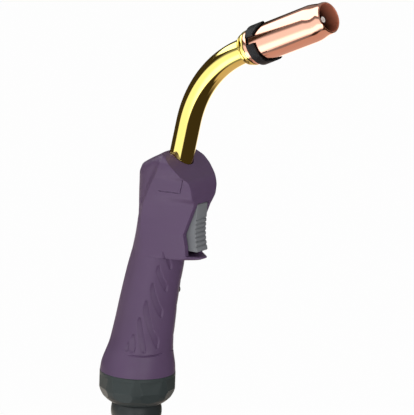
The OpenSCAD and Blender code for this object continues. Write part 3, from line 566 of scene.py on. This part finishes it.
# %% Leaf slots and groove
LEAVES = [[(26.9, 87.2), (28.8, 82.4), (29.6, 77.6), (29.2, 74), (28.7, 73.6), (27.9, 77.6),
           (27.5, 82.4)],
          [(23.9, 77.6), (24.7, 73.2), (25.8, 68.8), (27, 63.6), (26.8, 61.2), (26, 57.6),
           (25, 61.2), (23.4, 67.2), (22.1, 72.4)],
          [(20.5, 65.6), (21.4, 60), (22.8, 53.2), (24.4, 46.4), (24.3, 44.8), (23.6, 39.6),
           (21.6, 45.6), (19.6, 52.8), (18.7, 60.4)],
          [(16.8, 54), (17.8, 46.8), (18.9, 38.8), (20.4, 32), (22.3, 27.2), (22.1, 23.2),
           (21.4, 18.4), (19.3, 26), (16.8, 34.8), (14.9, 42.8), (14.8, 48)],
          [(13, 42), (14.1, 34.4), (15.5, 25.6), (17.2, 16.8), (14.2, 17.2), (12.6, 25.6),
           (11.2, 32.8), (10.9, 37.6)],
          [(8.9, 30), (10, 25.2), (10.9, 16.8), (7.5, 16.8), (6.6, 22.4), (6.8, 26)],
          [(5.8, 24), (6.4, 17.2), (3.3, 16.8), (4, 21)],
          [(2.4, 15.9), (6, 15.5), (10.6, 15.2), (20, 15.2), (23.4, 16.6), (22.8, 15.6), (20, 14.5),
           (10.6, 14.5), (6, 14.8)]]
LEAF_DEPTH, LEAF_SHOULDER = 1.0, 0.6


def softened(outline):
    corners = []
    for (ax, az), (bx, bz) in zip(outline, outline[1:] + outline[:1]):
        corners += [(ax * 0.75 + bx * 0.25, az * 0.75 + bz * 0.25),
                    (ax * 0.25 + bx * 0.75, az * 0.25 + bz * 0.75)]
    return corners


def depth_inside(x, z, outline):
    inside, nearest = False, 1e9
    for (ax, az), (bx, bz) in zip(outline, outline[1:] + outline[:1]):
        if (az > z) != (bz > z) and x < ax + (bx - ax) * (z - az) / (bz - az):
            inside = not inside
        dx, dz = bx - ax, bz - az
        t = max(0, min(1, ((x - ax) * dx + (z - az) * dz) / (dx * dx + dz * dz + 1e-9)))
        nearest = min(nearest, math.hypot(x - ax - t * dx, z - az - t * dz))
    return nearest if inside else -nearest


OUTLINES = [softened(softened(leaf)) for leaf in LEAVES]
LEAF_BOXES = [(min(p[0] for p in o), max(p[0] for p in o), min(p[1] for p in o),
               max(p[1] for p in o)) for o in OUTLINES]


def share_across(x, z, outline):
    edges = sorted(ax + (bx - ax) * (z - az) / (bz - az)
                   for (ax, az), (bx, bz) in zip(outline, outline[1:] + outline[:1])
                   if (az > z) != (bz > z))
    if len(edges) < 2:
        return 0.5
    return max(0, min(1, (x - edges[0]) / (edges[-1] - edges[0] + 1e-9)))


def leaf_sink(x, y, z):
    if y > -4 or not 14 < z < 88:
        return 0.0
    for outline, (x0, x1, z0, z1) in zip(OUTLINES, LEAF_BOXES):
        if x0 - 1 < x < x1 + 1 and z0 - 1 < z < z1 + 1:
            d = depth_inside(x, z, outline)
            if d > -LEAF_SHOULDER / 2:
                t = min(1, (d + LEAF_SHOULDER / 2) / LEAF_SHOULDER)
                slope = 0.3 + 0.7 * share_across(x, z, outline)
                return LEAF_DEPTH * t * t * (3 - 2 * t) * slope
    return 0.0


# %% [markdown]
# ## Lofting a shell
# A flat grid is the start: its columns run round half of the section and on
# across the middle plane, its rows climb the handle. Every corner of the grid
# is then set on the form, the seam is merged, and the two ends are filled.

# %% Heights of the rows
HEIGHTS = [0.0, 0.25]
while HEIGHTS[-1] < 149.2:
    HEIGHTS.append(HEIGHTS[-1] + (0.45 if 13 < HEIGHTS[-1] < 88 else 0.72))
HEIGHTS = [z for z in HEIGHTS if not 81.3 < z < 85.3]
HEIGHTS += [81.4, 81.6, 81.8, 82.0, 82.4, 82.8, 83.2, 83.7, 84.2, 84.4, 84.6, 84.8, 85.0,
            85.2, 150.0]
HEIGHTS.sort()


def lofted(heights, inset, flat_y, detail):
    rows = []
    for z in heights:
        points = half_section(z, inset)
        if detail:
            shaped = []
            for i, (x, y) in enumerate(points):
                d = leaf_sink(x, y, z)
                if d:
                    (ax, ay), (bx, by) = points[i - 1], points[i + 1]
                    nx, ny = by - ay, ax - bx
                    n = math.hypot(nx, ny)
                    x, y = x - nx / n * d, y - ny / n * d
                shaped.append((x, y))
            points = shaped
        else:
            points = points[::4] + [points[-1]]
        if flat_y:
            points = [(points[0][0], flat_y)] + points + [(points[-1][0], flat_y)]
        x0, x1 = points[-1][0], points[0][0]
        y0 = flat_y or 0.0
        middle = [(x0 + (x1 - x0) * k / 8, y0) for k in range(1, 8)]
        rows.append([(x * MM, y * MM, z * MM) for x, y in points + middle])
    columns = len(rows[0])
    bpy.ops.object.select_all(action="DESELECT")
    bpy.ops.mesh.primitive_grid_add(x_subdivisions=columns, y_subdivisions=len(rows) - 1)
    piece = bpy.context.object
    for j in range(len(rows)):
        for i in range(columns + 1):
            piece.data.vertices[j * (columns + 1) + i].co = rows[j][i % columns]
    only(piece)
    bpy.ops.object.mode_set(mode="EDIT")
    bpy.ops.mesh.select_all(action="SELECT")
    bpy.ops.mesh.remove_doubles(threshold=0.000002)
    bpy.ops.mesh.select_all(action="DESELECT")
    bpy.ops.mesh.select_non_manifold()
    bpy.ops.mesh.edge_face_add()
    bpy.ops.object.mode_set(mode="OBJECT")
    return settle(piece)


# %% [markdown]
# ## Cutting the shell
# The lofted half is solid. Its hollow, the neck's hole, the trigger's slot,
# the screw holes and the short seam on the head's side are cut out of it with
# Boolean modifiers, each of which is applied at once. The hollow's cutters
# reach a little past the middle plane, so that the half is open there.

# %% The two shells
SCREWS = [(9, 131), (-9.4, 32), (20.6, 56)]
PAST_SEAM = 2.0
SEAM = [(25, 126.9), (30, 127), (35, 127.2), (40.2, 127.3), (41.4, 132), (42.6, 136.6)]
ROD_TO_Y = Matrix.Rotation(math.pi / 2, 4, "X")


def seam_cutter(start, end):
    (ax, az), (bx, bz) = start, end
    length = math.hypot(bx - ax, bz - az)
    dx, dz = (bx - ax) / length * 0.25, (bz - az) / length * 0.25
    floor_y = 0.5 - side_y((ax + bx) / 2, (az + bz) / 2)
    return plate([(ax - dx + dz, az - dz - dx), (bx + dx + dz, bz + dz - dx),
                  (bx + dx - dz, bz + dz + dx), (ax - dx - dz, az - dz + dx)], -30, floor_y)


def shell(screw_heads):
    piece = lofted(HEIGHTS, inset=0, flat_y=0, detail=True)
    hollow = lofted([-1, 4, 12, 18, 24, 36, 48, 60, 72, 80], SHELL_WALL, PAST_SEAM, False)
    upper = lofted([85.1, 90, 98.5, 107, 118, 124, 132, 135, 138, 141], SHELL_WALL, PAST_SEAM,
                   False)
    throat = lofted([79.5, 81.6], SHELL_WALL, PAST_SEAM, False)
    cut(piece, hollow, upper, throat)
    cut(piece, rod(11.4, -20, -8.4, at_exit), rod(NECK_R + 0.4, -9.4, 16, at_exit))
    cut(piece, block((32, -TRIGGER_W / 2 - 0.6, LIP_TOP), (82, 20, SLOT_TOP)))
    cut(piece, rod(1.5, 0, 10, Matrix.Translation((PIN_X * MM, 0, PIN_Z * MM)) @ ROD_TO_Y))
    cut(piece, *[seam_cutter(a, b) for a, b in zip(SEAM, SEAM[1:])])
    if screw_heads:
        for x, z in SCREWS:
            spot = Matrix.Translation((x * MM, 0, z * MM)) @ ROD_TO_Y
            cut(piece, rod(3.1, side_y(x, z) - 3.4, 40, spot))
    return piece


def side_y(x, z):
    points = half_section(z)
    for (ax, ay), (bx, by) in zip(points, points[1:]):
        if ax <= x <= bx and bx > ax:
            return -(ay + (by - ay) * (x - ax) / (bx - ax))
    return 17.0


left = shell(False)
finish(left, "shell_left", HANDLE, "handle", "handle_plastic", "handle_left", angle=32)
right = shell(True)
right.data.transform(Matrix.Diagonal((1, -1, 1, 1)))
right.data.flip_normals()
finish(right, "shell_right", HANDLE, "handle", "handle_plastic", "handle_right", angle=32)

# %% [markdown]
# ## The trigger
# The trigger is a hollow lever with fine grooves across its front. Its outline
# is a plate, its back is hollowed, and square bars set on edge cut the grooves.
# All of its rims are then softened with a bevel.

# %% Trigger
FRONT_EDGE = [(48.8, 88.8), (48.2, 91.2), (47.3, 96), (46.9, 101), (47, 106), (47.2, 111)]
trigger_outline = [(35.6, 89), (36.6, 87.8), (48.2, 88)] + FRONT_EDGE + [
    (47.5, 119), (46.9, 119.7), (39.5, 119.7), (36.3, 118.7), (34.8, 115.5), (35.6, 112)]
lever = plate(trigger_outline, -TRIGGER_W / 2, TRIGGER_W / 2)
bevelled(lever, 0.5, 3, 20)
cut(lever, plate([(30.5, 89.3), (46.8, 89.3)] + [(x - 2, z) for x, z in FRONT_EDGE[1:]] +
                 [(44.6, 118.3), (30.5, 118.3)], -4.1, 4.1))
for i in range(7):
    z = 109.1 - 2.9 * i
    x = table_at([(b, a) for a, b in FRONT_EDGE], z) - 0.15
    turn = Matrix.Translation((x * MM, 0, z * MM)) @ Matrix.Rotation(math.pi / 4, 4, "Y")
    cut(lever, block((-0.55, -8, -0.55), (0.55, 8, 0.55), turn))
cut(lever, rod(1.54, -8, 8, Matrix.Translation((PIN_X * MM, 0, PIN_Z * MM)) @ ROD_TO_Y))
bevelled(lever, 0.12, 2, 30)
finish(lever, "trigger_lever", TRIGGER, "trigger", "trigger_plastic", "trigger")

# %% [markdown]
# ## The neck
# The neck is one brass tube. A ring is extruded straight out of the handle,
# spun round the bend's centre, and extruded on along the nozzle's axis. The
# Solidify modifier then gives the skin its wall.

# %% Swan neck
tube = ring_at(NECK_R, -33, 128)
bpy.ops.object.mode_set(mode="EDIT")
bpy.ops.mesh.select_all(action="SELECT")
bpy.ops.mesh.extrude_region_move(
    TRANSFORM_OT_translate={"value": (0, 0, (33 + NECK_STRAIGHT) * MM)})
bpy.ops.mesh.spin(steps=72, angle=-BEND, center=(BEND_R * MM, 0, NECK_STRAIGHT * MM),
                  axis=(0, 1, 0))
ahead = Vector((math.sin(BEND), 0, math.cos(BEND))) * (NECK_FRONT_S * MM)
bpy.ops.mesh.extrude_region_move(TRANSFORM_OT_translate={"value": ahead})
settle(tube)
wall = tube.modifiers.new("wall", "SOLIDIFY")
wall.thickness, wall.offset = NECK_WALL * MM, -1
apply_modifiers(tube)
settle(tube, at_exit)
finish(tube, "neck_tube", BRASS, "handle", "neck_brass", "swan_neck")

# %% [markdown]
# ## The nozzle and its rings
# All of these are lathe work on the nozzle's axis: the grooved brass collar,
# the copper seat ring, the black insulator, and the long copper nozzle with
# its drawn-in nose. The insulator's ring has two gaps, and two teeth that
# narrow forwards; the nozzle's wall has a fine slit on either side.

# %% Collar and seat ring
collar = turned([(8, 2.8), (9.5, 2.8), (10.3, 3.2), (10.5, 4.3), (10.1, 4.7), (9.5, 4.9),
                 (9.5, 5.5), (11, 5.8), (11.4, 6.3), (11.6, 8.2), (11.1, 9), (10.5, 9.4), (8, 9.4)])
bevelled(collar, 0.18, 2, 25)
settle(collar, at_front)
finish(collar, "collar", BRASS, "handle", "neck_brass", "neck_collar")
ring = turned([(8, RING_S), (11.6, RING_S), (NOZZLE_R, RING_S + 0.3), (NOZZLE_R, INSULATOR_S - 0.3),
               (11.6, INSULATOR_S), (8, INSULATOR_S)])
bevelled(ring, 0.12, 2, 25)
settle(ring, at_front)
finish(ring, "seat_washer", COPPER, "handle", "copper", "seat_ring")

# %% Insulator ring
GAP_FROM, GAP_TO, TOOTH_TURN = 61, 82.7, -75
TOOTH = [(-8.5, 18), (8.5, 18), (8.5, 19), (2.5, 23), (2, 23.5), (-2, 23.5), (-2.5, 23),
         (-8.5, 19)]


def sector(start, end, low, high):
    angles = [math.radians(start + (end - start) * i / 24) for i in range(25)]
    outline = [(10.4 * math.cos(a), -10.4 * math.sin(a)) for a in angles]
    outline += [(14.4 * math.cos(a), -14.4 * math.sin(a)) for a in reversed(angles)]
    piece = plate(outline, low, high)
    piece.data.transform(Matrix.Rotation(math.pi / 2, 4, "X"))
    return piece


insulator = turned([(8, INSULATOR_S), (12.8, INSULATOR_S), (13.2, 12.8), (13.2, 19), (12.2, 19),
                    (12.2, 13.7), (9.45, 13.7), (9.45, 22.6), (7.2, 22.6), (7.2, 19), (8, 19)])
bevelled(insulator, 0.12, 2, 25)
for turn in (0, 180):
    cut(insulator, sector(GAP_FROM + turn, GAP_TO + turn, 11.4, 20))
    tooth = turned([(12.22, 18), (13.18, 18), (13.18, 23.5), (12.22, 23.5)])
    radial = plate(TOOTH, 2, 20)
    radial.data.transform(Matrix.Rotation(math.radians(turn + TOOTH_TURN), 4, "Z"))
    cut(tooth, radial, operation="INTERSECT")
    cut(insulator, tooth, operation="UNION")
bevelled(insulator, 0.1, 2, 40)
settle(insulator, at_front)
finish(insulator, "insulator", INSULATOR, "handle", "insulator_black", "nozzle_insulator")

# %% Gas nozzle
nose = [(NOZZLE_R, 59.4), (11.5, 62.4), (11.0, 64.8), (10.56, 67), (10.44, 69), (10.4, 70.4),
        (10.14, 71.5), (9.68, MOUTH_S)]
nozzle = turned([(BORE_R, NOZZLE_S), (11.5, NOZZLE_S), (NOZZLE_R, NOZZLE_S + 0.4)] + nose +
                [(9.3, MOUTH_S), (MOUTH_R, 71.6), (MOUTH_R, 67.3), (BORE_R, 57.4)], sides=160)
bevelled(nozzle, 0.15, 2, 30)
SLIT_TURN = math.radians(122)
cut(nozzle, block((-13, -0.3, 13), (13, 0.3, 25), Matrix.Rotation(SLIT_TURN, 4, "Z")))
settle(nozzle, at_front)
finish(nozzle, "nozzle", COPPER, "nozzle", "copper", "gas_nozzle", angle=24)

# %% [markdown]
# ## The rear nut and the cable support
# The nut is turned too. Eight times round it, two blocks mill a flat for the
# fingers off its wall: the upper flat leans out and widens upwards, and the
# lower one leans in and facets the cone.

# %% Rear nut
FLATS, FLAT_TURN = 8, -31.5
MILLED = ((1.2, 2.6, -4.6, 14), (0.56, 10.6, 20, 10.2))
nut = turned([(16.1, -20.8), (17.3, -20.8), (20.1, -18.8), (22.5, -16.4), (24.0, -13.7),
              (NUT_R, -11.5), (NUT_R, -0.4), (24.3, 0), (20.05, 0), (20.05, -14.2), (16.1, -14.2)],
             sides=120)
bevelled(nut, 1.2, 5, 8)
for i in range(FLATS):
    for depth, drop, lean, length in MILLED:
        milled = (Matrix.Rotation(math.radians(360 / FLATS * i + FLAT_TURN), 4, "Z") @
                  Matrix.Translation(((NUT_R - depth) * MM, 0, -drop * MM)) @
                  Matrix.Rotation(math.radians(180 + lean), 4, "Y"))
        cut(nut, block((-8, -10, 0), (0, 10, length), milled))
bevelled(nut, 0.15, 2, 30)
finish(nut, "nut", NUT, "handle", "nut_plastic", "rear_nut", angle=7)

# %% Cable support
centre = Matrix.Translation((0, 0, -BALL_DROP * MM))
BALL_R = 16.6
ball = [(BALL_R * math.cos(math.radians(a)), BALL_R * math.sin(math.radians(a)))
        for a in range(-40, 20, 4)]
ball.append((15.62, 5.63))
support = turned([(7.5, -21), (10.9, -21), (11.7, -20.2), (13.3, -13.2)] + ball +
                 [(12.36, 5.63), (11.9, 3.6), (11.5, 3.5), (12.05, 0), (11.2, -4.5), (9.4, -7.54),
                  (7.5, -9.43)])
bevelled(support, 0.2, 2, 35)
settle(support, centre)
finish(support, "cable_boot", SUPPORT, "support", "support_plastic", "cable_support", angle=24)

# %% [markdown]
# ## The pieces inside
# The tip, its holder, the springs, screws and the switch are right as solids,
# so they keep their own meshes and only get their finish.

# %% Finishes of the solids that stay
STAYS = {
    TIP_COPPER: ("contact_tip",),
    COPPER: ("neck_conductor",),
    MACHINED: ("tip_holder", "neck_socket", "terminal_low", "terminal_high"),
    PALE_INSULATION: ("gas_diffuser", "neck_sleeve"),
    STEEL: ("nozzle_spring", "wire_liner", "trigger_pin", "trigger_spring"),
    DARK_STEEL: ("socket_screw", "shell_screw_top", "shell_screw_mid", "shell_screw_rear"),
    SWITCH: ("switch_body", "neck_bush"),
    PLUNGER: ("switch_plunger",),
    SUPPORT: ("swivel_seat",)}
for paint, names in STAYS.items():
    for name in names:
        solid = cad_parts[name]
        solid.data.materials.clear()
        solid.data.materials.append(paint)
print("kept solids:", sum(len(names) for names in STAYS.values()))

# %% [markdown]
# ## Studio
# The torch floats on plain white. The world is white to the camera, and to
# shiny surfaces it is a studio with a bright left, a dark right and a strip of
# ceiling light, which gives polished metal its long bands. Matt surfaces are
# lit at a plain level, by an even world and two soft lamps.

# %% Floor
# To the camera and in reflections the paper glows white. The small share that
# is left to the lamps shows the torch's soft shadow.
FLOOR_GAP, WHITE_SHARE = 0.004, 0.975
bpy.ops.object.select_all(action="DESELECT")
bpy.ops.mesh.primitive_plane_add(size=8, location=(0, 0, CAD_BOX[0].z - FLOOR_GAP))
floor = bpy.context.object
floor.name = "floor"
floor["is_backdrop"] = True
floor.visible_glossy = False
paper, g, shader = material("studio_paper")
path = g.node("ShaderNodeLightPath")
rays = path.output.node.outputs
seen = Wire(g, rays["Is Camera Ray"]).larger(Wire(g, rays["Is Glossy Ray"])).larger(
    Wire(g, rays["Is Transmission Ray"]))
white = g.node("ShaderNodeEmission", None, {"Color": (1, 1, 1), "Strength": 1.0})
shader.inputs["Base Color"].default_value = (0.8, 0.8, 0.8, 1)
shader.inputs["Roughness"].default_value = 0.9
blend = g.node("ShaderNodeMixShader", None,
               {0: seen * WHITE_SHARE, 1: Wire(g, shader.outputs[0]), 2: white})
g.feed(paper.node_tree.nodes["Material Output"].inputs["Surface"], blend)
floor.data.materials.append(paper)

# %% World
# A direction in the studio is told by three measures: to_right is across the
# camera's view, level is up or down, and ahead is towards the camera's side.
EVEN_LIGHT, DARK, WARM = 0.52, (0.05, 0.035, 0.02), (0.70, 0.52, 0.44)
world = bpy.data.worlds.new("studio")
bpy.context.scene.world = world
world.use_nodes = True
g = Graph(world.node_tree)
for old in list(world.node_tree.nodes):
    world.node_tree.nodes.remove(old)
path = g.node("ShaderNodeLightPath")
rays = path.output.node.outputs
direct = Wire(g, rays["Is Camera Ray"]).larger(Wire(g, rays["Is Transmission Ray"]))
glossy = Wire(g, rays["Is Glossy Ray"])
way = g.node("ShaderNodeTexCoord", out="Generated")


def facing(direction):
    return g.vectors("DOT_PRODUCT", {0: way, 1: tuple(direction)}, out="Value")


def grey(value):
    return (value, value, value)


to_right = facing(side)
level = facing((0, 0, 1))
ahead = facing((math.sin(AZ), -math.cos(AZ), 0))
left = g.mix(g.step(level, -0.36, -0.62) * g.step(level, -0.88, -0.76), grey(1.3), grey(2.6))
left = g.mix(g.step(level, -0.05, 0.12), left, grey(0.25))
left = g.mix(g.step(level, -0.86, -0.90), left, grey(0.30))
front = g.mix(g.step(to_right, -0.30, -0.18), left, DARK)
low_back = g.mix(g.step(level, -0.48, -0.64), (1.7, 1.5, 1.3), WARM)
low_back = g.mix(g.step(to_right, 0.30, 0.60), low_back, DARK)
back_wall = g.mix(g.step(level, -0.18, -0.30), DARK, low_back)
studio = g.mix(g.step(ahead, -0.08, 0.02), back_wall, front)
studio = g.mix(g.step(level, -0.955, -0.975), studio, WARM)
ceiling = g.mix(g.step(to_right, -0.58, -0.48), grey(2.8), grey(0.3))
studio = g.mix(g.step(level, 0.27, 0.31), studio, ceiling)
soft_light = g.node("ShaderNodeBackground", None, {"Color": (1, 1, 1), "Strength": EVEN_LIGHT})
shown = g.node("ShaderNodeBackground", None, {"Color": (1, 1, 1), "Strength": 1.0})
mirrored = g.node("ShaderNodeBackground", None, {"Color": studio, "Strength": 1.0})
first = g.node("ShaderNodeMixShader", None, {0: glossy, 1: soft_light, 2: mirrored})
last = g.node("ShaderNodeMixShader", None, {0: direct, 1: first, 2: shown})
g.node("ShaderNodeOutputWorld", None, {"Surface": last})

# %% Lamps
LAMPS = [("key", (1.15, -0.85, -0.05), 0.7, 9.0), ("fill", (0.39, -1.45, 0.0), 0.7, 5.5)]
for name, place, size, power in LAMPS:
    lamp = bpy.data.objects.new(name, bpy.data.lights.new(name, "AREA"))
    bpy.context.scene.collection.objects.link(lamp)
    lamp.data.energy, lamp.data.size = power, size
    lamp.location = place
    lamp.rotation_mode = "QUATERNION"
    lamp.rotation_quaternion = (AIM - Vector(place)).to_track_quat("-Z", "Y")

# %% View
bpy.context.scene.view_settings.view_transform = "Standard"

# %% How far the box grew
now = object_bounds()
growth = (*(CAD_BOX[0] - now[0]), *(now[1] - CAD_BOX[1]))
print("box grew, in mm, by", [round(v / MM, 2) for v in growth])
